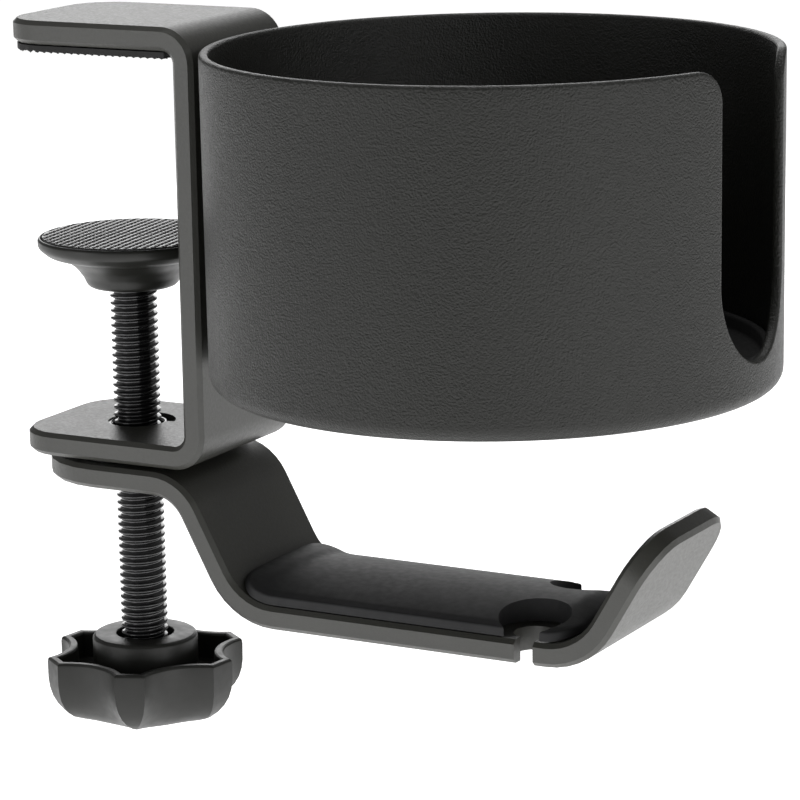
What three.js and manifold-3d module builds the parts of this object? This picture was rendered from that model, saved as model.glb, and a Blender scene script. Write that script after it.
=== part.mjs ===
// Desk clamp with a headphone hook and a cup holder.
// Units are millimetres. +X points from the clamp screw to the hook tip, +Y runs across the strip, +Z is up.
// The origin is the point of the desk-top seat that lies on the clamp screw's axis.
import * as THREE from 'three';
import { mergeVertices } from 'three/addons/utils/BufferGeometryUtils.js';
import Module from 'manifold-3d';

const wasm = await Module();
wasm.setup();

// ---- driving dimensions ----------------------------------------------------------------------------
const GAP = 0.3;                 // air left between neighbouring pieces
const STRIP_WIDTH = 29;          // bent strip of both the frame and the hook
const STRIP_THICKNESS = 3.8;
const STRIP_CHAMFER = 0.7;
const STRIP_CORNER = 8;          // plan radius of the strip's free ends
const HALF_STRIP = STRIP_THICKNESS / 2;

const JAW_REACH = 15.6;          // screw axis to the jaws' free ends
const THROAT_DEPTH = 17.7;       // screw axis to the face that meets the desk edge
const JAW_OPENING = 63.7;        // between the two metal jaws
const FRAME_BEND = 3.9;          // bend radius on the strip's middle surface
const SEAT_PAD = 1.2;            // rubber under the upper jaw
const SEAT_PAD_AIR = 0.2;
const SEAT_PAD_INSET = 0.6;

const CUP_RADIUS = 45;
const CUP_RIM_Z = 2.8;
const CUP_HEIGHT = 52.2;
const CUP_WALL = 1.5;
const CUP_FLOOR = 2.2;
const CUP_DRAFT = 0.25;          // the foot is this much smaller in radius than the rim
const CUP_FOOT_FILLET = 2.5;
const CUP_BOSS_HALF_WIDTH = 10;
const CUP_BOSS_TOP = -8.2;
const CUP_BOSS_HEIGHT = 32;
const CUP_BOSS_INSIDE = 1.3;
const CUP_SCREW_Z = [-13.2, -35.2];
const CUP_WALL_TAPER = 0.2;      // the inside is this much narrower in radius at the floor
const M4_SHANK = 2;
const M4_CLEARANCE = 2.3;        // radius of the holes that an M4 screw goes through
const M4_HEAD = 4;
const M4_HEAD_HEIGHT = 2.4;
const M4_SOCKET = 2.5;           // hexagonal socket, over its flats
const CUP_WASHER = 0.8;
const CUP_WASHER_RADIUS = 4.5;
const HANDLE_SLOT_HALF_WIDTH = 11.05;
const HANDLE_SLOT_SHOULDER = 32;   // rim to the start of the slot's rounded bottom
const HANDLE_SLOT_DEPTH = 45.3;
const HANDLE_SLOT_CORNER = 5;
const MAT_RIM_HEIGHT = 3.9;
const MAT_FLOOR = 1.4;
const MAT_RIM_WALL = 1.3;

const SCREW_RADIUS = 3.9;        // M8 clamp screw
const BUSH_BORE = SCREW_RADIUS + GAP;
const BUSH_NECK = 4.75;
const BUSH_BODY = 5.9;
const BUSH_FLANGE = 7.6;
const BUSH_FLANGE_THICKNESS = 1.1;
const STOP_SLOT_RADIUS = 6.3;    // outer radius of the arc relief in the lower jaw
const STOP_SLOT_ANGLE = 150;
const STOP_WASHER = 0.5;
const FRICTION_WASHER = 0.4;
const PIVOT_AIR = 0.15;

const HOOK_GAP = 0.8;            // lower jaw to hook plate
const HOOK_DROP = 19.9;          // between the hook's upper and lower flats
const HOOK_SLOPE = 62;
const HOOK_UPPER_CORNER = 16.1;
const HOOK_TIP_CORNER = 88.3;
const HOOK_TIP_ANGLE = 59.5;
const HOOK_TIP_LENGTH = 22.8;
const HOOK_UPPER_BEND = 7.9;
const HOOK_LOWER_BEND = 11.1;
const HOOK_PAD_WIDTH = 27.6;
const HOOK_PAD_EDGE = 1.6;
const HOOK_PAD_CROWN = 2.2;
const HOOK_PAD_CORNER = 6;
const HOOK_PAD_WRAP = [52, 28];  // degrees of the slope's and the tip's bend that the pad covers
const CABLE_HOLE_X = 77.8;
const CABLE_HOLE_Y = 9;
const CABLE_HOLE_PAD = 5.7;
const CABLE_HOLE_PLATE = 3.4;
const CABLE_SLOT = 3.2;
const CABLE_SLOT_SHIFT = 0.6;    // the slot lies this much nearer the tip than the hole's centre

const SWIVEL_TOP = -30.9;        // top of the swivel pad's rubber
const SWIVEL_RADIUS = 15.4;
const GRIP_RADIUS = 14.7;
const GRIP_THICKNESS = 1.5;
const HUB_BASE = -39.5;
const HUB_WEB = 2;               // thickness of the web that the screw's end bears on
const HUB_RECESS_RADIUS = 6;
const PAD_WASHER_RADIUS = 5.5;
const PAD_WASHER_THICKNESS = 0.6;
const PAD_SCREW_HEAD = 0.9;
const PAD_SCREW_LENGTH = 4;
const M4_BORE_DEPTH = 5;         // the retaining screw's hole in the clamp screw's end
// The hub's underside as [radius, height above its base], from the neck out to the rim.
const HUB_FLARE = [[6.7, 0], [7.5, 0.9], [8.4, 2.2], [9.6, 3.5], [11.4, 4.8], [14.2, 5.9], [15.1, 7]];

const KNOB_RIM_Z = -101.5;
const KNOB_BOSS_Z = -98.7;
const KNOB_BASE_Z = -113;
const KNOB_RADIUS = 16.7;
const KNOB_VALLEY = 3.4;
const KNOB_LOBES = 6;
const KNOB_TIP_HALF_ANGLE = 8.6 * (Math.PI / 180);
const KNOB_PHASE = 23;
const KNOB_WALL = 1.6;
const KNOB_BOSS = 8.8;
const KNOB_BORE = 4.8;
const KNOB_POCKET_DEPTH = 5;
const KNOB_CAP_HOLE = 8;
// The knob's rounded side as [share of its height from the base, share of its full outline].
const KNOB_ROUNDING = [
  [0, 0.5], [0.04, 0.64], [0.12, 0.78], [0.22, 0.88], [0.34, 0.95],
  [0.5, 0.99], [0.65, 1], [0.96, 1], [1, 0.985],
];
const HEX_HEAD_FLATS = 13;
const HEX_HEAD_HEIGHT = 5.3;
const HEX_HEAD_TOP = -105.6;

// ---- derived levels --------------------------------------------------------------------------------
const UPPER_JAW_BOTTOM = SEAT_PAD + SEAT_PAD_AIR;
const LOWER_JAW_TOP = UPPER_JAW_BOTTOM - JAW_OPENING;
const LOWER_JAW_BOTTOM = LOWER_JAW_TOP - STRIP_THICKNESS;
const HOOK_TOP = LOWER_JAW_BOTTOM - HOOK_GAP;
const HOOK_UNDER = HOOK_TOP - STRIP_THICKNESS;
const PLATE_FACE_X = THROAT_DEPTH + STRIP_THICKNESS;
const CUP_X = PLATE_FACE_X + GAP / 2 + CUP_RADIUS + GAP / 2;
const CUP_BASE_Z = CUP_RIM_Z - CUP_HEIGHT;
const BOSS_FACE_X = CUP_X - CUP_RADIUS + CUP_WALL + CUP_BOSS_INSIDE;
const GRIP_SEAT = SWIVEL_TOP - GRIP_THICKNESS - GAP / 2;
const HUB_WEB_TOP = GRIP_SEAT - HUB_WEB;
const HUB_WEB_BOTTOM = HUB_WEB_TOP - HUB_WEB;
const SCREW_TOP = HUB_WEB_BOTTOM - GAP;
const RADIANS = Math.PI / 180;
// Each scallop is an arc through its lobes' corners, KNOB_VALLEY deep at its middle.
const SCALLOP_HALF_ANGLE = Math.PI / KNOB_LOBES - KNOB_TIP_HALF_ANGLE;
const SCALLOP_HALF_CHORD = KNOB_RADIUS * Math.sin(SCALLOP_HALF_ANGLE);
const SCALLOP_SAGITTA = KNOB_RADIUS * Math.cos(SCALLOP_HALF_ANGLE) - (KNOB_RADIUS - KNOB_VALLEY);
const KNOB_SCALLOP_RADIUS = (SCALLOP_HALF_CHORD ** 2 + SCALLOP_SAGITTA ** 2) / (2 * SCALLOP_SAGITTA);
const KNOB_SCALLOP_CENTRE = KNOB_RADIUS - KNOB_VALLEY + KNOB_SCALLOP_RADIUS;
const TURN = 2 * Math.PI;

// ---- general helpers -------------------------------------------------------------------------------
function toManifold(geometry) {
  const bare = geometry.clone();
  bare.deleteAttribute('normal');
  bare.deleteAttribute('uv');
  const merged = mergeVertices(bare, 1e-5);
  const mesh = new wasm.Mesh({
    numProp: 3,
    vertProperties: new Float32Array(merged.attributes.position.array),
    triVerts: new Uint32Array(merged.index.array),
  });
  return new wasm.Manifold(mesh);
}

function fromManifold(solid) {
  const mesh = solid.getMesh();
  const geometry = new THREE.BufferGeometry();
  geometry.setAttribute('position', new THREE.BufferAttribute(new Float32Array(mesh.vertProperties), 3));
  geometry.setIndex(new THREE.BufferAttribute(new Uint32Array(mesh.triVerts), 1));
  return geometry;
}

function cut(geometry, tools) {
  let solid = toManifold(geometry);
  for (const tool of tools) {
    solid = solid.subtract(toManifold(tool));
  }
  return fromManifold(solid);
}

function join(geometry, others) {
  let solid = toManifold(geometry);
  for (const other of others) {
    solid = solid.add(toManifold(other));
  }
  return fromManifold(solid);
}

// Turns a closed profile of [radius, z] points about the Z axis.
function turned(profile, segments) {
  const points = profile.map(([radius, z]) => new THREE.Vector2(radius, z));
  points.push(points[0].clone());
  const geometry = new THREE.LatheGeometry(points, segments);
  geometry.rotateX(Math.PI / 2);
  return outward(geometry);
}

// Makes a closed surface face outward by the sign of its volume.
function outward(geometry) {
  const bare = geometry.clone();
  bare.deleteAttribute('normal');
  bare.deleteAttribute('uv');
  const solid = mergeVertices(bare, 1e-5);
  const position = solid.attributes.position;
  const index = solid.index.array;
  const faces = [];
  const [a, b, c] = [new THREE.Vector3(), new THREE.Vector3(), new THREE.Vector3()];
  let volume = 0;
  for (let i = 0; i < index.length; i += 3) {
    const [p, q, r] = [index[i], index[i + 1], index[i + 2]];
    if (p === q || q === r || r === p) continue;
    faces.push([p, q, r]);
    a.fromBufferAttribute(position, p);
    b.fromBufferAttribute(position, q);
    c.fromBufferAttribute(position, r);
    volume += a.dot(b.cross(c));
  }
  const ordered = faces.flatMap(([p, q, r]) => (volume < 0 ? [p, r, q] : [p, q, r]));
  solid.setIndex(ordered);
  return solid;
}

// A straight round bar with its axis along Z.
function bar(radius, bottom, top, segments = 32) {
  const geometry = new THREE.CylinderGeometry(radius, radius, top - bottom, segments);
  geometry.rotateX(Math.PI / 2);
  geometry.translate(0, 0, (top + bottom) / 2);
  return geometry;
}

// A round bar with its axis along X.
function crossBar(radius, start, end, segments = 24) {
  const geometry = bar(radius, start, end, segments);
  geometry.rotateY(Math.PI / 2);
  return geometry;
}

function ring(inner, outer, bottom, top, segments = 36) {
  return turned([[inner, bottom], [outer, bottom], [outer, top], [inner, top]], segments);
}

function block(xRange, yRange, zRange) {
  const size = [xRange, yRange, zRange].map(([low, high]) => high - low);
  const middle = [xRange, yRange, zRange].map(([low, high]) => (high + low) / 2);
  const geometry = new THREE.BoxGeometry(...size);
  geometry.translate(...middle);
  return geometry;
}

// A hexagonal prism across the given flats.
function hexBar(flats, bottom, top) {
  return bar(flats / Math.sqrt(3), bottom, top, 6);
}

// ---- bent strips -----------------------------------------------------------------------------------
// A path in the XZ plane made of straight runs and round bends. Each sample holds its point, its direction
// and its distance along the path.
function bentPath(corners, bends, bendStep = 9) {
  const samples = [];
  let distance = 0;
  let last = null;
  const put = (point, heading) => {
    if (last) distance += last.distanceTo(point);
    samples.push({ point: point.clone(), heading: heading.clone(), distance });
    last = point.clone();
  };
  const points = corners.map(([x, z]) => new THREE.Vector2(x, z));
  put(points[0], points[1].clone().sub(points[0]).normalize());
  for (let i = 1; i < points.length - 1; i += 1) {
    const before = points[i].clone().sub(points[i - 1]).normalize();
    const after = points[i + 1].clone().sub(points[i]).normalize();
    const angle = Math.acos(before.dot(after));
    const side = Math.sign(before.cross(after));
    const radius = bends[i - 1];
    const start = points[i].clone().addScaledVector(before, -radius * Math.tan(angle / 2));
    const centre = start.clone().add(new THREE.Vector2(-before.y, before.x).multiplyScalar(side * radius));
    const steps = Math.ceil(angle / RADIANS / bendStep);
    for (let k = 0; k <= steps; k += 1) {
      const turn = (side * angle * k) / steps;
      const origin = new THREE.Vector2(0, 0);
      put(start.clone().rotateAround(centre, turn), before.clone().rotateAround(origin, turn));
    }
  }
  const end = points[points.length - 1];
  put(end, end.clone().sub(points[points.length - 2]).normalize());
  return samples;
}

// The path's point and heading at a distance along it.
function pathAt(path, distance) {
  const total = path[path.length - 1].distance;
  const wanted = Math.min(Math.max(distance, 0), total);
  let k = 1;
  while (k < path.length - 1 && path[k].distance < wanted) k += 1;
  const [a, b] = [path[k - 1], path[k]];
  const part = (wanted - a.distance) / (b.distance - a.distance);
  return {
    point: a.point.clone().lerp(b.point, part),
    heading: a.heading.clone().lerp(b.heading, part).normalize(),
  };
}

// Places a point given by its distance along the path, its offset to the path's left and its Y.
function placeOnPath(path, distance, offset, y) {
  const { point, heading } = pathAt(path, distance);
  return [point.x - heading.y * offset, y, point.y + heading.x * offset];
}

// Joins rings with equal point counts into one closed solid. Each end is closed by a fan or by given faces.
function loft(rings, endFaces) {
  const count = rings[0].length;
  const position = rings.flat(2);
  const faces = [];
  for (let i = 0; i < rings.length - 1; i += 1) {
    for (let k = 0; k < count; k += 1) {
      const next = (k + 1) % count;
      const [a, b, c, d] = [i * count + k, i * count + next, (i + 1) * count + next, (i + 1) * count + k];
      faces.push(a, b, c, a, c, d);
    }
  }
  const lastStart = (rings.length - 1) * count;
  for (const [a, b, c] of endFaces) {
    faces.push(a, c, b);
    faces.push(lastStart + a, lastStart + b, lastStart + c);
  }
  const geometry = new THREE.BufferGeometry();
  geometry.setAttribute('position', new THREE.BufferAttribute(new Float32Array(position), 3));
  geometry.setIndex(faces);
  return outward(geometry);
}

function fan(count) {
  const faces = [];
  for (let k = 1; k < count - 1; k += 1) faces.push([0, k, k + 1]);
  return faces;
}

// Stations of a strip's outline: how far along, and how wide, on the full edge and on the chamfered face.
function stripStations(path, halfWidth, chamfer, startCorner, endCorner, cornerSteps) {
  const total = path[path.length - 1].distance;
  const stations = [];
  for (let k = 0; k <= cornerSteps; k += 1) {
    const angle = (Math.PI / 2) * (k / cornerSteps);
    stations.push(cornerStation(startCorner, chamfer, halfWidth, angle, (reach) => reach));
  }
  for (const sample of path) {
    const inside = sample.distance > startCorner + 0.2 && sample.distance < total - endCorner - 0.2;
    if (inside) {
      stations.push({ edge: [sample.distance, halfWidth], face: [sample.distance, halfWidth - chamfer] });
    }
  }
  for (let k = cornerSteps; k >= 0; k -= 1) {
    const angle = (Math.PI / 2) * (k / cornerSteps);
    stations.push(cornerStation(endCorner, chamfer, halfWidth, angle, (reach) => total - reach));
  }
  return stations;
}

function cornerStation(corner, chamfer, halfWidth, angle, along) {
  const inner = corner - chamfer;
  const middle = halfWidth - corner;
  return {
    edge: [along(corner - corner * Math.cos(angle)), middle + corner * Math.sin(angle)],
    face: [along(corner - inner * Math.cos(angle)), middle + inner * Math.sin(angle)],
  };
}

// A bent flat strip with chamfered edges and rounded ends.
function bentStrip(path, startCorner, endCorner) {
  const [width, thickness, chamfer] = [STRIP_WIDTH, STRIP_THICKNESS, STRIP_CHAMFER];
  const half = thickness / 2;
  const low = half - chamfer;
  const stations = stripStations(path, width / 2, chamfer, startCorner, endCorner, 6);
  const rings = stations.map(({ edge, face }) => [
    placeOnPath(path, face[0], -half, -face[1]),
    placeOnPath(path, face[0], -half, face[1]),
    placeOnPath(path, edge[0], -low, edge[1]),
    placeOnPath(path, edge[0], low, edge[1]),
    placeOnPath(path, face[0], half, face[1]),
    placeOnPath(path, face[0], half, -face[1]),
    placeOnPath(path, edge[0], low, -edge[1]),
    placeOnPath(path, edge[0], -low, -edge[1]),
  ]);
  const ends = [[0, 1, 2], [0, 2, 7], [7, 2, 3], [7, 3, 6], [6, 3, 4], [6, 4, 5]];
  return loft(rings, ends);
}

// ---- clamp frame -----------------------------------------------------------------------------------
function framePath() {
  const upper = UPPER_JAW_BOTTOM + HALF_STRIP;
  const lower = LOWER_JAW_TOP - HALF_STRIP;
  const back = THROAT_DEPTH + HALF_STRIP;
  return bentPath([[-JAW_REACH, upper], [back, upper], [back, lower], [-JAW_REACH, lower]],
    [FRAME_BEND, FRAME_BEND]);
}

// An arc-shaped prism about the Z axis, centred on +Y.
function arcPrism(inner, outer, degrees, bottom, top) {
  const half = (degrees / 2) * RADIANS;
  const shape = new THREE.Shape();
  shape.absarc(0, 0, outer, Math.PI / 2 - half, Math.PI / 2 + half, false);
  shape.absarc(0, 0, inner, Math.PI / 2 + half, Math.PI / 2 - half, true);
  const depth = top - bottom;
  const geometry = new THREE.ExtrudeGeometry(shape, { depth, bevelEnabled: false, curveSegments: 16 });
  geometry.translate(0, 0, bottom);
  return geometry;
}

function clampFrame() {
  const strip = bentStrip(framePath(), STRIP_CORNER, STRIP_CORNER);
  const below = LOWER_JAW_BOTTOM - 1;
  const above = LOWER_JAW_TOP + 1;
  const tools = [
    bar(BUSH_NECK + PIVOT_AIR, below, above, 36),
    arcPrism(BUSH_NECK - 1, STOP_SLOT_RADIUS, STOP_SLOT_ANGLE, below, above),
  ];
  for (const z of CUP_SCREW_Z) {
    const hole = crossBar(M4_CLEARANCE, THROAT_DEPTH - 1, PLATE_FACE_X + 1);
    hole.translate(0, 0, z);
    tools.push(hole);
  }
  return cut(strip, tools);
}

// A flat plate with rounded corners at its free end.
function upperJawPad() {
  const left = -JAW_REACH + SEAT_PAD_INSET;
  const right = THROAT_DEPTH - 1.5;
  const half = STRIP_WIDTH / 2 - SEAT_PAD_INSET;
  const corner = STRIP_CORNER - SEAT_PAD_INSET;
  const shape = new THREE.Shape();
  shape.moveTo(right, -half);
  shape.lineTo(right, half);
  shape.lineTo(left + corner, half);
  shape.absarc(left + corner, half - corner, corner, Math.PI / 2, Math.PI, false);
  shape.absarc(left + corner, -half + corner, corner, Math.PI, 1.5 * Math.PI, false);
  return new THREE.ExtrudeGeometry(shape, { depth: SEAT_PAD, bevelEnabled: false, curveSegments: 8 });
}

// ---- cup -------------------------------------------------------------------------------------------
function cupShell() {
  const foot = CUP_RADIUS - CUP_DRAFT;
  const fillet = [];
  for (let k = 0; k <= 4; k += 1) {
    const angle = (Math.PI / 2) * (k / 4);
    fillet.push([
      foot - CUP_FOOT_FILLET + CUP_FOOT_FILLET * Math.sin(angle),
      CUP_BASE_Z + CUP_FOOT_FILLET - CUP_FOOT_FILLET * Math.cos(angle),
    ]);
  }
  const rimRound = CUP_WALL / 2;
  const rim = [];
  for (let k = 0; k <= 4; k += 1) {
    const angle = Math.PI * (k / 4);
    rim.push([
      CUP_RADIUS - rimRound + rimRound * Math.cos(angle),
      CUP_RIM_Z - rimRound + rimRound * Math.sin(angle),
    ]);
  }
  const inside = [[foot - CUP_WALL - CUP_WALL_TAPER, CUP_BASE_Z + CUP_FLOOR], [0, CUP_BASE_Z + CUP_FLOOR]];
  const profile = [[0, CUP_BASE_Z], ...fillet, ...rim, ...inside];
  const body = turned(profile, 96);
  body.translate(CUP_X, 0, 0);
  const bossOuter = PLATE_FACE_X + GAP / 2;
  const boss = block([bossOuter, BOSS_FACE_X], [-CUP_BOSS_HALF_WIDTH, CUP_BOSS_HALF_WIDTH],
    [CUP_BOSS_TOP - CUP_BOSS_HEIGHT, CUP_BOSS_TOP]);
  const withBoss = join(body, [boss]);
  const tools = [handleSlot()];
  for (const z of CUP_SCREW_Z) {
    const hole = crossBar(M4_CLEARANCE, bossOuter - 1, BOSS_FACE_X + 1);
    hole.translate(0, 0, z);
    tools.push(hole);
  }
  return cut(withBoss, tools);
}

// The open slot for a mug handle: rounded top corners that flare out, straight sides and an elliptical foot.
function handleSlot() {
  const half = HANDLE_SLOT_HALF_WIDTH;
  const corner = HANDLE_SLOT_CORNER;
  const shoulder = CUP_RIM_Z - HANDLE_SLOT_SHOULDER;
  const drop = HANDLE_SLOT_DEPTH - HANDLE_SLOT_SHOULDER;
  const shape = new THREE.Shape();
  shape.moveTo(-half - corner, CUP_RIM_Z + 2);
  shape.lineTo(-half - corner, CUP_RIM_Z);
  shape.absarc(-half - corner, CUP_RIM_Z - corner, corner, Math.PI / 2, 0, true);
  shape.lineTo(-half, shoulder);
  shape.absellipse(0, shoulder, half, drop, Math.PI, TURN, false, 0);
  shape.lineTo(half, CUP_RIM_Z - corner);
  shape.absarc(half + corner, CUP_RIM_Z - corner, corner, Math.PI, Math.PI / 2, true);
  shape.lineTo(half + corner, CUP_RIM_Z + 2);
  const depth = CUP_RADIUS * 0.6;
  const geometry = new THREE.ExtrudeGeometry(shape, { depth, bevelEnabled: false, curveSegments: 16 });
  geometry.rotateX(Math.PI / 2);
  geometry.rotateZ(Math.PI / 2);
  geometry.translate(CUP_X + CUP_RADIUS * 0.5, 0, 0);
  return geometry;
}

function cupMat() {
  const bottom = CUP_BASE_Z + CUP_FLOOR + GAP / 2;
  const outer = CUP_RADIUS - CUP_DRAFT - CUP_WALL - CUP_WALL_TAPER - GAP;
  const inner = outer - MAT_RIM_WALL;
  const mat = turned([
    [0, bottom], [outer, bottom], [outer, bottom + MAT_RIM_HEIGHT], [inner, bottom + MAT_RIM_HEIGHT],
    [inner, bottom + MAT_FLOOR], [0, bottom + MAT_FLOOR],
  ], 72);
  mat.translate(CUP_X, 0, 0);
  return mat;
}

// A pan-head M4 screw along X, head inside the cup and thread in the frame.
function cupScrew(z) {
  const headStart = BOSS_FACE_X + CUP_WASHER + 2 * PIVOT_AIR;
  const tip = THROAT_DEPTH + GAP;
  const headEnd = headStart + M4_HEAD_HEIGHT;
  const profile = [
    [0, tip], [M4_SHANK, tip], [M4_SHANK, headStart], [M4_HEAD, headStart], [M4_HEAD, headEnd - 1],
    [M4_HEAD - 0.5, headEnd - 0.3], [M4_HEAD - 1.4, headEnd], [0, headEnd],
  ];
  const screw = turned(profile, 24);
  const recess = hexBar(M4_SOCKET, headStart + 1, headEnd + 1);
  const solid = cut(screw, [recess]);
  solid.rotateY(Math.PI / 2);
  solid.translate(0, 0, z);
  return solid;
}

function cupWasher(z) {
  const start = BOSS_FACE_X + PIVOT_AIR;
  const washer = ring(M4_CLEARANCE, CUP_WASHER_RADIUS, start, start + CUP_WASHER, 28);
  washer.rotateY(Math.PI / 2);
  washer.translate(0, 0, z);
  return washer;
}

// ---- hook pivot ------------------------------------------------------------------------------------
function pivotBushing() {
  const flangeTop = HOOK_UNDER - FRICTION_WASHER - 2 * PIVOT_AIR;
  const shoulder = LOWER_JAW_BOTTOM - PIVOT_AIR;
  return turned([
    [BUSH_BORE, flangeTop - BUSH_FLANGE_THICKNESS], [BUSH_FLANGE, flangeTop - BUSH_FLANGE_THICKNESS],
    [BUSH_FLANGE, flangeTop], [BUSH_BODY, flangeTop], [BUSH_BODY, shoulder], [BUSH_NECK, shoulder],
    [BUSH_NECK, LOWER_JAW_TOP - 0.2], [BUSH_BORE + 0.3, LOWER_JAW_TOP - 0.2],
    [BUSH_BORE, LOWER_JAW_TOP - 0.5],
  ], 36);
}

// A thin washer that turns with the hook; its tab runs in the frame's arc relief and stops the swing.
function stopWasher() {
  const bottom = HOOK_TOP + PIVOT_AIR;
  const washer = ring(BUSH_BODY + PIVOT_AIR, 12, bottom, bottom + STOP_WASHER, 36);
  const tab = arcPrism(BUSH_BODY - 0.7, STOP_SLOT_RADIUS - PIVOT_AIR, 14, bottom, LOWER_JAW_TOP - 1);
  const bridge = arcPrism(BUSH_BODY - 0.7, BUSH_BODY + 1.5, 14, bottom + 0.1, bottom + STOP_WASHER);
  const clearBush = bar(BUSH_BODY + PIVOT_AIR, bottom - 1, LOWER_JAW_BOTTOM - PIVOT_AIR / 2, 36);
  const clearNeck = bar(BUSH_NECK + 0.45, LOWER_JAW_BOTTOM - 1, LOWER_JAW_TOP + 1, 36);
  return cut(join(washer, [tab, bridge]), [clearBush, clearNeck]);
}

function frictionWasher() {
  const top = HOOK_UNDER - PIVOT_AIR;
  return ring(BUSH_BODY + PIVOT_AIR, BUSH_FLANGE + 0.6, top - FRICTION_WASHER, top, 36);
}

// ---- hook ------------------------------------------------------------------------------------------
function hookPath() {
  const upper = HOOK_TOP - HALF_STRIP;
  const lower = upper - HOOK_DROP;
  const run = HOOK_DROP / Math.tan(HOOK_SLOPE * RADIANS);
  const tip = [
    HOOK_TIP_CORNER + HOOK_TIP_LENGTH * Math.cos(HOOK_TIP_ANGLE * RADIANS),
    lower + HOOK_TIP_LENGTH * Math.sin(HOOK_TIP_ANGLE * RADIANS),
  ];
  const corners = [
    [-STRIP_WIDTH / 2, upper], [HOOK_UPPER_CORNER, upper], [HOOK_UPPER_CORNER + run, lower],
    [HOOK_TIP_CORNER, lower], tip,
  ];
  return bentPath(corners, [HOOK_UPPER_BEND, HOOK_LOWER_BEND, HOOK_LOWER_BEND]);
}

// A round cable hole opened to the strip's edge by a slot. side is -1 or 1.
function cableOpening(radius, slot, side, bottom, top) {
  const hole = bar(radius, bottom, top, 28);
  hole.translate(CABLE_HOLE_X, side * CABLE_HOLE_Y, 0);
  const edge = STRIP_WIDTH / 2 + 1;
  const yRange = side < 0 ? [-edge, -CABLE_HOLE_Y] : [CABLE_HOLE_Y, edge];
  const centre = CABLE_HOLE_X + CABLE_SLOT_SHIFT;
  const mouth = block([centre - slot / 2, centre + slot / 2], yRange, [bottom, top]);
  return join(hole, [mouth]);
}

function hookPlate() {
  const strip = bentStrip(hookPath(), STRIP_WIDTH / 2 - 0.05, STRIP_CORNER);
  const bottom = HOOK_UNDER - HOOK_DROP - 1;
  const top = HOOK_TOP - HOOK_DROP + 1;
  return cut(strip, [
    bar(BUSH_BODY + PIVOT_AIR, HOOK_UNDER - 1, HOOK_TOP + 1, 36),
    cableOpening(CABLE_HOLE_PLATE, CABLE_SLOT, -1, bottom, top),
    cableOpening(CABLE_HOLE_PLATE, CABLE_SLOT, 1, bottom, top),
  ]);
}

// The crowned pad on the hook's lower flat. It wraps a little way up both bends.
function hookPad() {
  const path = hookPath();
  const flatHeading = path.map((sample) => Math.atan2(sample.heading.y, sample.heading.x) / RADIANS);
  const inReach = path.filter((sample, k) => {
    const beyondSlope = sample.point.x > HOOK_UPPER_CORNER + 4;
    return beyondSlope && flatHeading[k] > -HOOK_PAD_WRAP[0] && flatHeading[k] < HOOK_PAD_WRAP[1];
  });
  const start = inReach[0].distance;
  const end = inReach[inReach.length - 1].distance;
  const corner = HOOK_PAD_CORNER;
  const half = HOOK_PAD_WIDTH / 2;
  const base = HALF_STRIP + SEAT_PAD_AIR;
  const across = 9;
  // A rounded end, from its edge inwards: [how far in, half width, share of the full height].
  const endStations = [0, 1, 2, 3, 4].map((k) => {
    const angle = (Math.PI / 8) * k;
    const width = half - corner + corner * Math.sin(angle);
    return [corner - corner * Math.cos(angle), width, 0.55 + 0.45 * (k / 4)];
  });
  const middle = path.filter((sample) => {
    return sample.distance > start + corner + 0.5 && sample.distance < end - corner - 0.5;
  });
  const stations = [
    ...endStations.map(([reach, width, height]) => [start + reach, width, height]),
    ...middle.map((sample) => [sample.distance, half, 1]),
    ...endStations.reverse().map(([reach, width, height]) => [end - reach, width, height]),
  ];
  const rings = stations.map(([distance, width, height]) => {
    const points = [placeOnPath(path, distance, base, width), placeOnPath(path, distance, base, -width)];
    for (let k = 0; k <= across; k += 1) {
      const y = width * ((2 * k) / across - 1);
      const share = Math.max(Math.abs(y) - half / across, 0) / (half - half / across);
      const rise = (HOOK_PAD_EDGE + HOOK_PAD_CROWN * (1 - share * share)) * height;
      points.push(placeOnPath(path, distance, base + rise, y));
    }
    return points;
  });
  const pad = loft(rings, fan(rings[0].length));
  const bottom = HOOK_TOP - HOOK_DROP - 1;
  const top = bottom + 8;
  return cut(pad, [
    cableOpening(CABLE_HOLE_PAD, CABLE_SLOT + 0.4, -1, bottom, top),
    cableOpening(CABLE_HOLE_PAD, CABLE_SLOT + 0.4, 1, bottom, top),
  ]);
}

// ---- swivel pad ------------------------------------------------------------------------------------
function padHub() {
  const lip = SWIVEL_TOP - 0.25;
  const flare = HUB_FLARE.map(([radius, height]) => [radius, HUB_BASE + height]);
  return turned([
    [BUSH_BORE, HUB_BASE], ...flare, [SWIVEL_RADIUS, lip - 1.2], [SWIVEL_RADIUS - GAP, lip],
    [GRIP_RADIUS + GAP, lip], [GRIP_RADIUS + GAP, GRIP_SEAT], [HUB_RECESS_RADIUS, GRIP_SEAT],
    [HUB_RECESS_RADIUS, HUB_WEB_TOP], [M4_CLEARANCE, HUB_WEB_TOP], [M4_CLEARANCE, HUB_WEB_BOTTOM],
    [BUSH_BORE, HUB_WEB_BOTTOM],
  ], 48);
}

function padGrip() {
  return bar(GRIP_RADIUS, SWIVEL_TOP - GRIP_THICKNESS, SWIVEL_TOP, 48);
}

function padWasher() {
  const bottom = HUB_WEB_TOP + PIVOT_AIR;
  return ring(M4_CLEARANCE, PAD_WASHER_RADIUS, bottom, bottom + PAD_WASHER_THICKNESS, 32);
}

function padRetainingScrew() {
  const headBottom = HUB_WEB_TOP + 2 * PIVOT_AIR + PAD_WASHER_THICKNESS;
  const headTop = headBottom + PAD_SCREW_HEAD;
  const tip = SCREW_TOP - PAD_SCREW_LENGTH;
  const screw = turned([
    [0, tip], [M4_SHANK, tip], [M4_SHANK, headBottom],
    [M4_HEAD, headBottom], [M4_HEAD, headTop], [0, headTop],
  ], 24);
  return cut(screw, [hexBar(M4_SOCKET, headTop - 0.5, headTop + 1)]);
}

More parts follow.
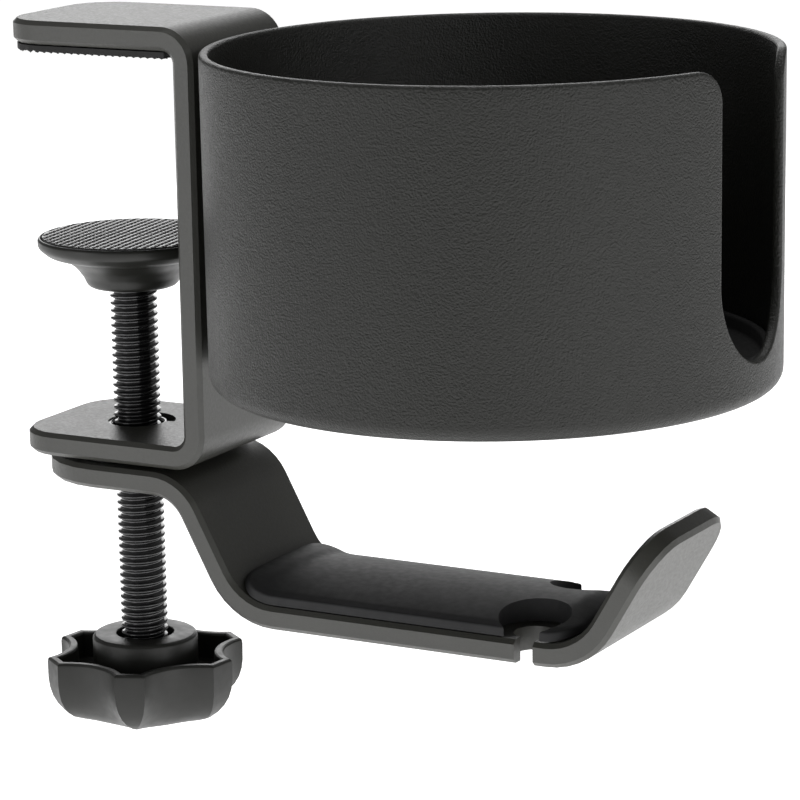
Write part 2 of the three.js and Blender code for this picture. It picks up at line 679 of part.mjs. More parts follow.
// ---- clamp screw and knob --------------------------------------------------------------------------
function clampScrew() {
  const chamfer = 0.8;
  const stem = turned([
    [0, HEX_HEAD_TOP - 1], [SCREW_RADIUS, HEX_HEAD_TOP - 1], [SCREW_RADIUS, SCREW_TOP - chamfer],
    [SCREW_RADIUS - chamfer, SCREW_TOP], [M4_CLEARANCE, SCREW_TOP],
    [M4_CLEARANCE, SCREW_TOP - M4_BORE_DEPTH], [0, SCREW_TOP - M4_BORE_DEPTH],
  ], 32);
  return join(stem, [hexBar(HEX_HEAD_FLATS, HEX_HEAD_TOP - HEX_HEAD_HEIGHT, HEX_HEAD_TOP)]);
}

// The knob's outline: six lobes with flat tips, and a round scallop between each two.
// The scallops' circles are centred KNOB_SCALLOP_CENTRE from the axis. inset moves the whole outline inwards.
function lobeRadius(angle, inset) {
  const pitch = TURN / KNOB_LOBES;
  const fromTip = Math.abs(((angle / pitch + 0.5) % 1 + 1) % 1 - 0.5) * pitch;
  const fromValley = pitch / 2 - fromTip;
  const tip = (KNOB_RADIUS * Math.cos(KNOB_TIP_HALF_ANGLE) - inset) / Math.cos(fromTip);
  const reach = (KNOB_SCALLOP_RADIUS + inset) ** 2 - (KNOB_SCALLOP_CENTRE * Math.sin(fromValley)) ** 2;
  if (reach <= 0) {
    return tip;
  }
  return Math.min(tip, KNOB_SCALLOP_CENTRE * Math.cos(fromValley) - Math.sqrt(reach));
}

// Directions for one turn of the knob's outline, with a point at each corner of a lobe.
function lobeDirections() {
  const corner = KNOB_TIP_HALF_ANGLE / RADIANS;
  const pitch = 360 / KNOB_LOBES;
  const steps = [-corner, -corner / 2, 0, corner / 2, corner, 12, 16, 20, 25, 30, 35, 40, 44, 48];
  const directions = [];
  for (let lobe = 0; lobe < KNOB_LOBES; lobe += 1) {
    directions.push(...steps.map((step) => (lobe * pitch + step) * RADIANS));
  }
  return directions;
}

function starRing(inset, z, scale) {
  return lobeDirections().map((angle) => {
    const radius = lobeRadius(angle, inset) * scale;
    const heading = angle + (KNOB_PHASE - 90) * RADIANS;
    return [radius * Math.cos(heading), radius * Math.sin(heading), z];
  });
}

function knobBody() {
  const count = lobeDirections().length;
  const depth = KNOB_RIM_Z - KNOB_BASE_Z;
  const rings = KNOB_ROUNDING.map(([share, scale]) => {
    return starRing(0, KNOB_BASE_Z + share * depth, scale);
  });
  const star = loft(rings, fan(count));
  const pocketFloor = KNOB_RIM_Z - KNOB_POCKET_DEPTH;
  const pocket = loft([
    starRing(KNOB_WALL, pocketFloor, 0.96),
    starRing(KNOB_WALL, KNOB_RIM_Z + 1, 1),
  ], fan(count));
  const hollow = cut(star, [pocket]);
  const boss = turned([
    [0, pocketFloor - 1], [KNOB_BOSS, pocketFloor - 1], [KNOB_BOSS, KNOB_BOSS_Z - 0.8],
    [KNOB_BOSS - 0.8, KNOB_BOSS_Z], [0, KNOB_BOSS_Z],
  ], 36);
  const headBottom = HEX_HEAD_TOP - HEX_HEAD_HEIGHT;
  return cut(join(hollow, [boss]), [
    bar(KNOB_BORE, HEX_HEAD_TOP - 1, KNOB_BOSS_Z + 1, 32),
    hexBar(HEX_HEAD_FLATS + 2 * GAP, headBottom - 0.5, HEX_HEAD_TOP + GAP),
    bar(KNOB_CAP_HOLE, KNOB_BASE_Z - 1, headBottom - 0.4, 36),
  ]);
}

function knobCap() {
  const top = HEX_HEAD_TOP - HEX_HEAD_HEIGHT - 0.4 - GAP;
  const radius = KNOB_CAP_HOLE - GAP;
  return turned([
    [0, KNOB_BASE_Z], [radius - 0.8, KNOB_BASE_Z], [radius, KNOB_BASE_Z + 0.6], [radius, top], [0, top],
  ], 36);
}

// ---- assembly --------------------------------------------------------------------------------------
const FINISHES = {
  anodised: { color: '#2c2c2e', roughness: 0.55, metalness: 0.75 },
  rubber: { color: '#1c1c1d', roughness: 0.9, metalness: 0 },
  cupPlastic: { color: '#2a2a2b', roughness: 0.6, metalness: 0 },
  knobPlastic: { color: '#1f1f20', roughness: 0.5, metalness: 0 },
  blackSteel: { color: '#1a1a1b', roughness: 0.3, metalness: 0.9 },
  zincSteel: { color: '#9a9c9e', roughness: 0.35, metalness: 1 },
  nylon: { color: '#d8d6cf', roughness: 0.5, metalness: 0 },
};

const part = new THREE.Group();
part.name = 'headphone_hook';

function add(name, geometry, finish) {
  const mesh = new THREE.Mesh(geometry, new THREE.MeshStandardMaterial(FINISHES[finish]));
  mesh.name = name;
  part.add(mesh);
}

add('clamp_frame', clampFrame(), 'anodised');
add('upper_jaw_pad', upperJawPad(), 'rubber');
add('cup_shell', cupShell(), 'cupPlastic');
add('cup_mat', cupMat(), 'rubber');
add('cup_screw_upper', cupScrew(CUP_SCREW_Z[0]), 'blackSteel');
add('cup_screw_lower', cupScrew(CUP_SCREW_Z[1]), 'blackSteel');
add('cup_washer_upper', cupWasher(CUP_SCREW_Z[0]), 'zincSteel');
add('cup_washer_lower', cupWasher(CUP_SCREW_Z[1]), 'zincSteel');
add('pivot_bushing', pivotBushing(), 'blackSteel');
add('stop_washer', stopWasher(), 'blackSteel');
add('friction_washer', frictionWasher(), 'nylon');
add('hook_plate', hookPlate(), 'anodised');
add('hook_pad', hookPad(), 'rubber');
add('clamp_screw', clampScrew(), 'blackSteel');
add('knob_body', knobBody(), 'knobPlastic');
add('knob_cap', knobCap(), 'knobPlastic');
add('swivel_hub', padHub(), 'knobPlastic');
add('swivel_grip', padGrip(), 'rubber');
add('swivel_washer', padWasher(), 'zincSteel');
add('swivel_retaining_screw', padRetainingScrew(), 'zincSteel');

export default part;
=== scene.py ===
"""Looks of a desk clamp with a swinging headphone hook and a cup holder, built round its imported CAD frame.

Metres, +X from the clamp screw to the hook's tip, +Y across the strip, +Z up.
The origin is the point of the desk-top seat that lies on the clamp screw's axis.
"""

import math

import bpy
from mathutils import Matrix, Vector, noise


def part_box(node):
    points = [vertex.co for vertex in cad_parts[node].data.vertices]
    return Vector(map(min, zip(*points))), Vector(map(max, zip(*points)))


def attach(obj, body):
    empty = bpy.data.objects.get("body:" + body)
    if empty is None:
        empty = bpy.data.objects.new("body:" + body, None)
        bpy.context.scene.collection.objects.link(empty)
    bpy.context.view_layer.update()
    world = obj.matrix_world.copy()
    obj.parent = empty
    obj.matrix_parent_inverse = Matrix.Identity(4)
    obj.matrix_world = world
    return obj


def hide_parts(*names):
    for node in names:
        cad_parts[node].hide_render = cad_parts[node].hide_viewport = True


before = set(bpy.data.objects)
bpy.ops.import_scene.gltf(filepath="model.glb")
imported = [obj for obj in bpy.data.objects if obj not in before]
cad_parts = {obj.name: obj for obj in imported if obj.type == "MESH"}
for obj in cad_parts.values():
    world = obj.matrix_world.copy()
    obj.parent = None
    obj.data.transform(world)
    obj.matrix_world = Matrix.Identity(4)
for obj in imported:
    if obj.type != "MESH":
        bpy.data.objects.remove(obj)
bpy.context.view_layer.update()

MM = 0.001
TURN = 2 * math.pi
QUARTER = math.pi / 2
WELD_DISTANCE = 0.002 * MM

# Faces that meet at more than this many degrees keep a sharp edge between them.
SHARP_ANGLE = 35
CUT_SHARP_ANGLE = 40
KEPT_NODE_SHARP_ANGLE = 24


def ease(share):
    """A smooth rise from 0 to 1 while share goes from 0 to 1."""
    return share * share * (3 - 2 * share)


def saturate(value):
    """The value kept between 0 and 1."""
    return min(max(value, 0), 1)


def quarter_arc(steps):
    """Angles from 0 to a quarter turn in even steps."""
    return [QUARTER * k / steps for k in range(steps + 1)]


# ---- mesh helpers ------------------------------------------------------------------------------------


def mesh_piece(name, points, faces, sharp_angle=SHARP_ANGLE):
    """A new object with smooth shading, kept sharp where faces meet at more than sharp_angle degrees."""
    mesh = bpy.data.meshes.new(name)
    mesh.from_pydata(points, [], faces)
    mesh.update()
    piece = bpy.data.objects.new(name, mesh)
    bpy.context.scene.collection.objects.link(piece)
    smooth_by_angle(piece, sharp_angle)
    return piece


def smoothing_group():
    """Geometry nodes that weld split corners and shade faces smooth, with sharp edges above the angle."""
    group = bpy.data.node_groups.new("smooth_by_angle", "GeometryNodeTree")
    group.interface.new_socket("Geometry", in_out="INPUT", socket_type="NodeSocketGeometry")
    group.interface.new_socket("Angle", in_out="INPUT", socket_type="NodeSocketFloat")
    group.interface.new_socket("Geometry", in_out="OUTPUT", socket_type="NodeSocketGeometry")
    nodes, links = group.nodes, group.links
    entry = nodes.new("NodeGroupInput")
    leave = nodes.new("NodeGroupOutput")
    angle = nodes.new("GeometryNodeInputMeshEdgeAngle")
    compare = nodes.new("FunctionNodeCompare")
    compare.operation = "LESS_EQUAL"
    soft_edges = nodes.new("GeometryNodeSetShadeSmooth")
    soft_edges.domain = "EDGE"
    soft_faces = nodes.new("GeometryNodeSetShadeSmooth")
    soft_faces.domain = "FACE"
    links.new(angle.outputs["Unsigned Angle"], compare.inputs[0])
    links.new(entry.outputs["Angle"], compare.inputs[1])
    weld = nodes.new("GeometryNodeMergeByDistance")
    weld.inputs["Distance"].default_value = WELD_DISTANCE
    plain_normals = nodes.new("GeometryNodeRemoveAttribute")
    plain_normals.inputs["Name"].default_value = "custom_normal"
    links.new(entry.outputs["Geometry"], weld.inputs["Geometry"])
    links.new(weld.outputs["Geometry"], plain_normals.inputs["Geometry"])
    links.new(plain_normals.outputs["Geometry"], soft_edges.inputs["Geometry"])
    links.new(compare.outputs[0], soft_edges.inputs["Shade Smooth"])
    links.new(soft_edges.outputs["Geometry"], soft_faces.inputs["Geometry"])
    links.new(soft_faces.outputs["Geometry"], leave.inputs["Geometry"])
    return group


SMOOTHING = smoothing_group()


def smooth_by_angle(piece, degrees):
    modifier = piece.modifiers.new("smooth_by_angle", "NODES")
    modifier.node_group = SMOOTHING
    modifier["Socket_1"] = math.radians(degrees)


def loft(name, rings, sharp_angle=SHARP_ANGLE):
    """A closed solid through rings of equal point counts. The first and last ring are capped flat."""
    count = len(rings[0])
    points = [point for ring in rings for point in ring]
    faces = []
    for row in range(len(rings) - 1):
        low, high = row * count, (row + 1) * count
        for k in range(count):
            following = (k + 1) % count
            faces.append((low + k, low + following, high + following, high + k))
    faces.append(tuple(range(count - 1, -1, -1)))
    faces.append(tuple(range((len(rings) - 1) * count, len(rings) * count)))
    return mesh_piece(name, points, faces, sharp_angle)


def tube(name, rings, sharp_angle=SHARP_ANGLE):
    """A closed ring-shaped solid: the last ring joins back to the first."""
    count = len(rings[0])
    points = [point for ring in rings for point in ring]
    faces = []
    for row in range(len(rings)):
        low, high = row * count, ((row + 1) % len(rings)) * count
        for k in range(count):
            following = (k + 1) % count
            faces.append((low + k, low + following, high + following, high + k))
    return mesh_piece(name, points, faces, sharp_angle)


def circle_ring(radius, z, count, centre=(0, 0)):
    """A ring of points about a vertical axis. radius is a number or a function of the direction."""
    ring = []
    for k in range(count):
        angle = TURN * k / count
        reach = radius(angle) if callable(radius) else radius
        ring.append((centre[0] + reach * math.cos(angle), centre[1] + reach * math.sin(angle), z))
    return ring


def rounded_profile(profile, steps=4):
    """Rounds corners of an open outline of (radius, z, rounding): each rounded corner becomes a short arc."""
    outline = []
    for k, (radius, z, rounding) in enumerate(profile):
        here = Vector((radius, z))
        if not rounding or k in (0, len(profile) - 1):
            outline.append(here)
            continue
        before = (Vector(profile[k - 1][:2]) - here).normalized()
        after = (Vector(profile[k + 1][:2]) - here).normalized()
        half_angle = before.angle(after) / 2
        reach = rounding / math.tan(half_angle)
        centre = here + (before + after).normalized() * (rounding / math.sin(half_angle))
        start = here + before * reach - centre
        end = here + after * reach - centre
        sweep = math.atan2(start.x * end.y - start.y * end.x, start.dot(end))
        for step in range(steps + 1):
            turn = Matrix.Rotation(sweep * step / steps, 2)
            outline.append(centre + turn @ start)
    return outline


def apply_modifiers(piece):
    """Bakes the piece's modifiers into its mesh."""
    evaluated = piece.evaluated_get(bpy.context.evaluated_depsgraph_get())
    mesh = bpy.data.meshes.new_from_object(evaluated)
    piece.modifiers.clear()
    piece.data = mesh


def cut_away(piece, cutter):
    """Cuts the cutter's volume out of the piece and removes the cutter."""
    piece.modifiers.clear()
    modifier = piece.modifiers.new("cut", "BOOLEAN")
    modifier.object = cutter
    modifier.solver = "EXACT"
    apply_modifiers(piece)
    bpy.data.objects.remove(cutter)
    smooth_by_angle(piece, CUT_SHARP_ANGLE)


# ---- materials ---------------------------------------------------------------------------------------


# The colour sockets of a mix node in its colour mode.
MIX_COLOUR_A = 6
MIX_COLOUR_B = 7
MIX_COLOUR_OUT = 2


class Finish:
    """A procedural material: one principled shader with noise-driven colour, roughness and bump."""

    def __init__(self, name, colour, roughness, metallic=0.0, specular=0.5):
        self.material = bpy.data.materials.new(name)
        self.material.use_nodes = True
        self.nodes = self.material.node_tree.nodes
        self.links = self.material.node_tree.links
        self.shader = self.nodes["Principled BSDF"]
        self.shader.inputs["Metallic"].default_value = metallic
        self.shader.inputs["Specular IOR Level"].default_value = specular
        self.place = self.nodes.new("ShaderNodeTexCoord").outputs["Object"]
        self.colour = colour
        self.roughness = roughness
        self.normal = None

    def noise(self, size_mm, detail=3.0, distortion=0.0, stretch=(1, 1, 1)):
        """Noise with features about size_mm across."""
        mapping = self.nodes.new("ShaderNodeMapping")
        mapping.inputs["Scale"].default_value = [s / (size_mm * MM) for s in stretch]
        self.links.new(self.place, mapping.inputs["Vector"])
        texture = self.nodes.new("ShaderNodeTexNoise")
        texture.inputs["Scale"].default_value = 1.0
        texture.inputs["Detail"].default_value = detail
        texture.inputs["Distortion"].default_value = distortion
        self.links.new(mapping.outputs["Vector"], texture.inputs["Vector"])
        return texture.outputs["Fac"]

    def spread(self, value, low, high, start=0.3, end=0.7):
        """Maps a texture value from start..end to low..high."""
        node = self.nodes.new("ShaderNodeMapRange")
        node.inputs["From Min"].default_value = start
        node.inputs["From Max"].default_value = end
        node.inputs["To Min"].default_value = low
        node.inputs["To Max"].default_value = high
        self.links.new(value, node.inputs["Value"])
        return node.outputs["Result"]

    def vary_colour(self, value, share=0.15, start=0.3, end=0.7):
        """Lightens and darkens the base colour with a texture value."""
        mix = self.nodes.new("ShaderNodeMix")
        mix.data_type = "RGBA"
        low = [c * (1 - share) for c in self.colour]
        high = [c * (1 + share) for c in self.colour]
        mix.inputs[MIX_COLOUR_A].default_value = (*low, 1)
        mix.inputs[MIX_COLOUR_B].default_value = (*high, 1)
        self.links.new(self.spread(value, 0, 1, start, end), mix.inputs[0])
        self.links.new(mix.outputs[MIX_COLOUR_OUT], self.shader.inputs["Base Color"])

    def vary_roughness(self, value, share=0.12, start=0.3, end=0.7):
        low, high = self.roughness * (1 - share), self.roughness * (1 + share)
        self.links.new(self.spread(value, low, high, start, end), self.shader.inputs["Roughness"])

    def bump(self, value, height_mm, strength=1.0):
        """Adds a bump of the given height over whatever bump is there already."""
        bump = self.nodes.new("ShaderNodeBump")
        bump.inputs["Strength"].default_value = strength
        bump.inputs["Distance"].default_value = height_mm * MM
        self.links.new(value, bump.inputs["Height"])
        if self.normal is not None:
            self.links.new(self.normal, bump.inputs["Normal"])
        self.normal = bump.outputs["Normal"]
        self.links.new(self.normal, self.shader.inputs["Normal"])


def anodised_aluminium():
    """Bead-blasted strip: a fine even sparkle and a little cloudiness."""
    finish = Finish("anodised_aluminium", (0.034, 0.034, 0.028), 0.42, specular=0.9)
    finish.vary_colour(finish.noise(14), 0.10)
    finish.vary_roughness(finish.noise(0.5, detail=2), 0.14)
    finish.bump(finish.noise(0.35, detail=2), 0.03)
    return finish.material


def grained_plastic():
    """Moulded satin plastic with a fine leather grain."""
    finish = Finish("grained_plastic", (0.0110, 0.0113, 0.0090), 0.42, specular=0.5)
    finish.vary_colour(finish.noise(22), 0.08)
    finish.vary_roughness(finish.noise(1.1, detail=3), 0.10)
    finish.bump(finish.noise(0.33, detail=2), 0.22)
    return finish.material


def satin_plastic(name, roughness=0.4):
    """Smooth moulded plastic with a faint unevenness."""
    finish = Finish(name, (0.0145, 0.0148, 0.0125), roughness, specular=0.5)
    finish.vary_colour(finish.noise(8), 0.12)
    finish.vary_roughness(finish.noise(1.5, detail=3), 0.12)
    finish.bump(finish.noise(0.5, detail=2), 0.006)
    return finish.material


def rubber(name, colour, roughness, grain_mm, grain_height_mm, specular=0.35):
    """Matt rubber with a dusty, very fine grain."""
    finish = Finish(name, colour, roughness, specular=specular)
    finish.vary_colour(finish.noise(6), 0.15)
    finish.vary_roughness(finish.noise(1.2), 0.08)
    finish.bump(finish.noise(grain_mm, detail=3), grain_height_mm)
    return finish.material


def black_oxide():
    """Oiled black steel with faint turning marks round the screw's axis."""
    finish = Finish("black_oxide", (0.010, 0.010, 0.011), 0.16, specular=1.0)
    finish.vary_colour(finish.noise(3), 0.25)
    finish.vary_roughness(finish.noise(0.9, detail=4), 0.22)
    finish.bump(finish.noise(0.5, stretch=(0.4, 0.4, 3)), 0.003)
    return finish.material


def zinc_plate():
    finish = Finish("zinc_plate", (0.55, 0.56, 0.57), 0.32, metallic=1.0)
    finish.vary_colour(finish.noise(1.5), 0.08)
    finish.vary_roughness(finish.noise(0.6, detail=4), 0.2)
    finish.bump(finish.noise(0.3), 0.004)
    return finish.material


def natural_nylon():
    finish = Finish("natural_nylon", (0.70, 0.69, 0.64), 0.45)
    finish.vary_colour(finish.noise(2), 0.05)
    finish.vary_roughness(finish.noise(1), 0.1)
    finish.bump(finish.noise(0.4), 0.005)
    return finish.material


ANODISED = anodised_aluminium()
CUP_PLASTIC = grained_plastic()
KNOB_PLASTIC = satin_plastic("knob_plastic", 0.42)
HUB_PLASTIC = satin_plastic("hub_plastic", 0.36)
HOOK_RUBBER = rubber("hook_rubber", (0.026, 0.026, 0.027), 0.62, 0.35, 0.010)
SEAT_RUBBER = rubber("seat_rubber", (0.020, 0.020, 0.020), 0.65, 0.30, 0.012)
GRIP_RUBBER = rubber("grip_rubber", (0.020, 0.020, 0.020), 0.26, 0.20, 0.002, specular=1.0)
MAT_RUBBER = rubber("mat_rubber", (0.020, 0.020, 0.020), 0.75, 0.60, 0.050)
BLACK_OXIDE = black_oxide()
ZINC = zinc_plate()
NYLON = natural_nylon()


def dress(piece, material):
    piece.data.materials.clear()
    piece.data.materials.append(material)


def place_piece(piece, body, material, slot, *nodes):
    """Finishes a new piece: its material, its body and the CAD nodes that it stands for. The slot argument is
    not used.
    """
    dress(piece, material)
    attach(piece, body)
    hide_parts(*nodes)


# ---- carried-over CAD nodes --------------------------------------------------------------------------

KEPT_NODES = {
    "clamp_frame": ANODISED,
    "hook_plate": ANODISED,
    "cup_screw_upper": BLACK_OXIDE,
    "cup_screw_lower": BLACK_OXIDE,
    "cup_washer_upper": ZINC,
    "cup_washer_lower": ZINC,
    "pivot_bushing": BLACK_OXIDE,
    "stop_washer": BLACK_OXIDE,
    "friction_washer": NYLON,
    "knob_cap": KNOB_PLASTIC,
    "swivel_washer": ZINC,
    "swivel_retaining_screw": ZINC,
}

for node_name, finish_material in KEPT_NODES.items():
    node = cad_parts[node_name]
    for material_slot in node.material_slots:
        material_slot.material = finish_material
    smooth_by_angle(node, KEPT_NODE_SHARP_ANGLE)


# ---- clamp screw -------------------------------------------------------------------------------------

THREAD_PITCH = 1.25
THREAD_CREST = 3.9
THREAD_ROOT = 3.18
THREAD_CREST_SHARE = 0.14
THREAD_FLANK_SHARE = 0.7
THREAD_ROUNDNESS = 0.9
THREAD_LEAD_IN = 0.8
ROWS_PER_PITCH = 16
SCREW_SIDES = 48
END_HOLE_RADIUS = 2.3
END_HOLE_DEPTH = 5
HEX_TOP = -105.6
HEX_BOTTOM = HEX_TOP - 5.3
HEX_FLATS = 13
HEX_CHAMFER = 0.4
HEX_CHAMFER_SCALE = 0.93


def thread_radius(angle, z):
    """Radius of a right-hand thread with narrow rounded crests and roots, in millimetres."""
    phase = (z / THREAD_PITCH - angle / TURN) % 1
    flank = saturate((abs(phase - 0.5) * 2 - THREAD_CREST_SHARE) / THREAD_FLANK_SHARE)
    depth = ease(flank) * THREAD_ROUNDNESS + flank * (1 - THREAD_ROUNDNESS)
    return THREAD_CREST - (THREAD_CREST - THREAD_ROOT) * depth


def hexagon(flats):
    """Radius of a hexagon with the given width over its flats, as a function of the direction."""
    def radius(angle):
        return flats / 2 / math.cos((angle % (TURN / 6)) - TURN / 12)
    return radius


def clamp_screw():
    low, high = (corner.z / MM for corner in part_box("clamp_screw"))
    head = hexagon(HEX_FLATS)

    def head_ring(scale, z):
        return circle_ring(lambda angle: head(angle) * scale * MM, z * MM, SCREW_SIDES)

    def threaded_ring(z):
        limit = THREAD_CREST - max(0, z - (high - THREAD_LEAD_IN))
        return circle_ring(lambda angle: min(thread_radius(angle, z), limit) * MM, z * MM, SCREW_SIDES)

    rows = int((high - HEX_TOP) / THREAD_PITCH * ROWS_PER_PITCH)
    rings = [head_ring(HEX_CHAMFER_SCALE, low), head_ring(1, low + HEX_CHAMFER), head_ring(1, HEX_TOP)]
    rings += [threaded_ring(HEX_TOP + (high - HEX_TOP) * row / rows) for row in range(rows + 1)]
    rings += [circle_ring(END_HOLE_RADIUS * MM, z * MM, SCREW_SIDES) for z in (high, high - END_HOLE_DEPTH)]
    screw = loft("clamp_screw_threaded", rings, sharp_angle=50)
    place_piece(screw, "screw", BLACK_OXIDE, "screw_steel", "clamp_screw")


clamp_screw()


# ---- knob --------------------------------------------------------------------------------------------

KNOB_BASE = -113.0
KNOB_RIM = -101.5
KNOB_BOSS_TOP = -98.7
KNOB_RADIUS = 16.7
KNOB_VALLEY = 3.4
KNOB_LOBES = 6
KNOB_PHASE = math.radians(23 - 90)
KNOB_TIP = math.radians(8.6)
KNOB_WALL = 1.6
KNOB_BOSS = 8.8
KNOB_BORE = 4.8
KNOB_POCKET_FLOOR = KNOB_RIM - 5
KNOB_CAP_HOLE = 8.0
KNOB_CAP_RECESS = 0.3
KNOB_CAP_SEAT = HEX_BOTTOM - 0.4
HEX_PLAY = 0.3
LOBE_PITCH = TURN / KNOB_LOBES
TIP_STEPS = 6
SCALLOP_STEPS = 44
SHARPEST_LOBE = math.radians(0.4)

# Each scallop is an arc through its lobes' corners, KNOB_VALLEY deep at its middle.
SCALLOP_HALF_CHORD = KNOB_RADIUS * math.sin(LOBE_PITCH / 2 - KNOB_TIP)
SCALLOP_SAGITTA = KNOB_RADIUS * math.cos(LOBE_PITCH / 2 - KNOB_TIP) - (KNOB_RADIUS - KNOB_VALLEY)
SCALLOP_RADIUS = (SCALLOP_HALF_CHORD ** 2 + SCALLOP_SAGITTA ** 2) / (2 * SCALLOP_SAGITTA)
SCALLOP_CENTRE = KNOB_RADIUS - KNOB_VALLEY + SCALLOP_RADIUS


def lobe_corner(inset):
    """Half the angle of a lobe's flat tip once the outline has moved inwards by inset."""
    tip = KNOB_RADIUS * math.cos(KNOB_TIP) - inset
    centre_x = SCALLOP_CENTRE * math.cos(LOBE_PITCH / 2)
    centre_y = SCALLOP_CENTRE * math.sin(LOBE_PITCH / 2)
    half_width = centre_y - math.sqrt((SCALLOP_RADIUS + inset) ** 2 - (tip - centre_x) ** 2)
    return max(math.atan2(half_width, tip), SHARPEST_LOBE)


def scallop_radius(from_tip, inset):
    """The radius of a scallop's arc at an angle from the middle of the nearest lobe."""
    from_valley = LOBE_PITCH / 2 - from_tip
    reach = (SCALLOP_RADIUS + inset) ** 2 - (SCALLOP_CENTRE * math.sin(from_valley)) ** 2
    return SCALLOP_CENTRE * math.cos(from_valley) - math.sqrt(reach)


def lobe_radius(from_tip, corner, inset):
    """The outline's radius at an angle from the middle of the nearest lobe: flat up to its corner."""
    if from_tip <= corner:
        return scallop_radius(corner, inset) * math.cos(corner) / math.cos(from_tip)
    return scallop_radius(from_tip, inset)


def star_ring(inset, z, blend=1.0):
    """The knob's outline moved inwards by inset: flat tips and round scallops, or a circle at blend 0."""
    corner = lobe_corner(inset)
    offsets = [corner * (2 * k / TIP_STEPS - 1) for k in range(TIP_STEPS)]
    offsets += [corner + (LOBE_PITCH - 2 * corner) * k / SCALLOP_STEPS for k in range(SCALLOP_STEPS)]
    plain = KNOB_RADIUS - inset
    ring = []
    for lobe in range(KNOB_LOBES):
        for offset in offsets:
            lobed = lobe_radius(min(abs(offset), LOBE_PITCH - offset), corner, inset)
            radius = plain + (lobed - plain) * blend
            angle = KNOB_PHASE + lobe * LOBE_PITCH + offset
            ring.append((radius * math.cos(angle) * MM, radius * math.sin(angle) * MM, z * MM))
    return ring


def turned_ring(radius, z):
    """A round ring, or one of any outline, with its points in the star ring's directions."""
    ring = []
    for x, y, height in star_ring(0, z):
        angle = math.atan2(y, x)
        reach = radius(angle) if callable(radius) else radius
        ring.append((reach * math.cos(angle) * MM, reach * math.sin(angle) * MM, height))
    return ring


def knob_outline():
    """Rings from the round base over the lobed rim down to the pocket, as (inset, height, blend)."""
    base = [
        (8.3, 0, 0.3), (6.8, 0.12, 0.5), (4.9, 0.6, 0.7), (3.4, 1.35, 0.85), (2.2, 2.3, 0.93), (1.25, 3.5, 1),
        (0.6, 4.8, 1), (0.2, 6.3, 1), (0.03, 7.8, 1),
    ]
    rim = [(0, -0.9), (0.05, -0.4), (0.2, -0.12), (0.45, 0)]
    rim += [(KNOB_WALL - 0.4, 0), (KNOB_WALL - 0.15, -0.12), (KNOB_WALL, -0.4), (KNOB_WALL + 0.1, -2.5)]
    pocket = [(0.2, 0.6), (0.4, 0.15), (0.8, 0)]
    rings = [(inset, KNOB_BASE + rise, blend) for inset, rise, blend in base]
    rings += [(inset, KNOB_RIM + rise, 1) for inset, rise in rim]
    return rings + [(KNOB_WALL + inset, KNOB_POCKET_FLOOR + rise, 1) for inset, rise in pocket]


def knob():
    hex_pocket = hexagon(HEX_FLATS + 2 * HEX_PLAY)
    hex_top = HEX_TOP + HEX_PLAY
    boss = rounded_profile([
        (KNOB_BOSS + 0.5, KNOB_POCKET_FLOOR, 0.4), (KNOB_BOSS, KNOB_POCKET_FLOOR + 0.1, 0),
        (KNOB_BOSS, KNOB_BOSS_TOP, 0.9), (KNOB_BORE, KNOB_BOSS_TOP, 0.25), (KNOB_BORE, hex_top, 0),
    ])
    rings = [turned_ring(KNOB_CAP_HOLE, z) for z in (KNOB_CAP_SEAT, KNOB_BASE + KNOB_CAP_RECESS)]
    rings += [star_ring(*ring) for ring in knob_outline()]
    rings += [turned_ring(*point) for point in boss]
    rings += [turned_ring(hex_pocket, z) for z in (hex_top, KNOB_CAP_SEAT)]
    body = tube("knob_body_moulded", rings, sharp_angle=20)
    place_piece(body, "screw", KNOB_PLASTIC, "knob_plastic", "knob_body")


knob()


# ---- swivel pad --------------------------------------------------------------------------------------

SWIVEL_TOP = -30.9
SWIVEL_RADIUS = 15.4
GRIP_RADIUS = 14.7
GRIP_PLAIN_RIM = 0.5
GRIP_PINHOLE = 0.05
GRIP_THICKNESS = 1.5
GRIP_EDGE = [(0, 0.25), (0.2, 0.05)]
GRIP_AIR = 0.15
GRIP_SIDE_AIR = 0.3
GRIP_SEAT = SWIVEL_TOP - GRIP_THICKNESS - GRIP_AIR
HUB_BASE = -39.5
HUB_BORE = 4.2
HUB_LIP_DROP = 0.25
HUB_WELL = 6
HUB_WELL_DEPTH = 2
HUB_WEB = 2
HUB_SCREW_HOLE = 2.35
KNURL_PITCH = 1.3
KNURL_HEIGHT = 0.5
KNURL_TURN = math.radians(7)
KNURL_FLAT = 0.36
KNURL_NOTCH = 0.4
KNURL_NOTCH_DEPTH = 0.16


def swivel_hub():
    lip = SWIVEL_TOP - HUB_LIP_DROP
    seat_radius = GRIP_RADIUS + GRIP_SIDE_AIR
    web_top = GRIP_SEAT - HUB_WELL_DEPTH
    web_bottom = web_top - HUB_WEB
    bell = [(7.3, 0, 1.2), (8.1, 1.8, 4), (9.3, 3.4, 5), (11.0, 4.75, 0.15), (13.8, 5.5, 2)]
    bell.append((SWIVEL_RADIUS, 6.8, 1.2))
    outline = rounded_profile([
        (HUB_BORE, HUB_BASE, 0),
        *[(radius, HUB_BASE + rise, rounding) for radius, rise, rounding in bell],
        (SWIVEL_RADIUS, lip, 0.45), (seat_radius, lip, 0.15), (seat_radius, GRIP_SEAT, 0),
        (HUB_WELL, GRIP_SEAT, 0.2), (HUB_WELL, web_top, 0), (HUB_SCREW_HOLE, web_top, 0),
        (HUB_SCREW_HOLE, web_bottom, 0), (HUB_BORE, web_bottom, 0),
    ])
    rings = [circle_ring(point.x * MM, point.y * MM, 128) for point in outline]
    hub = tube("swivel_hub_turned", rings)
    place_piece(hub, "pad_carriage", HUB_PLASTIC, "hub_plastic", "swivel_hub")


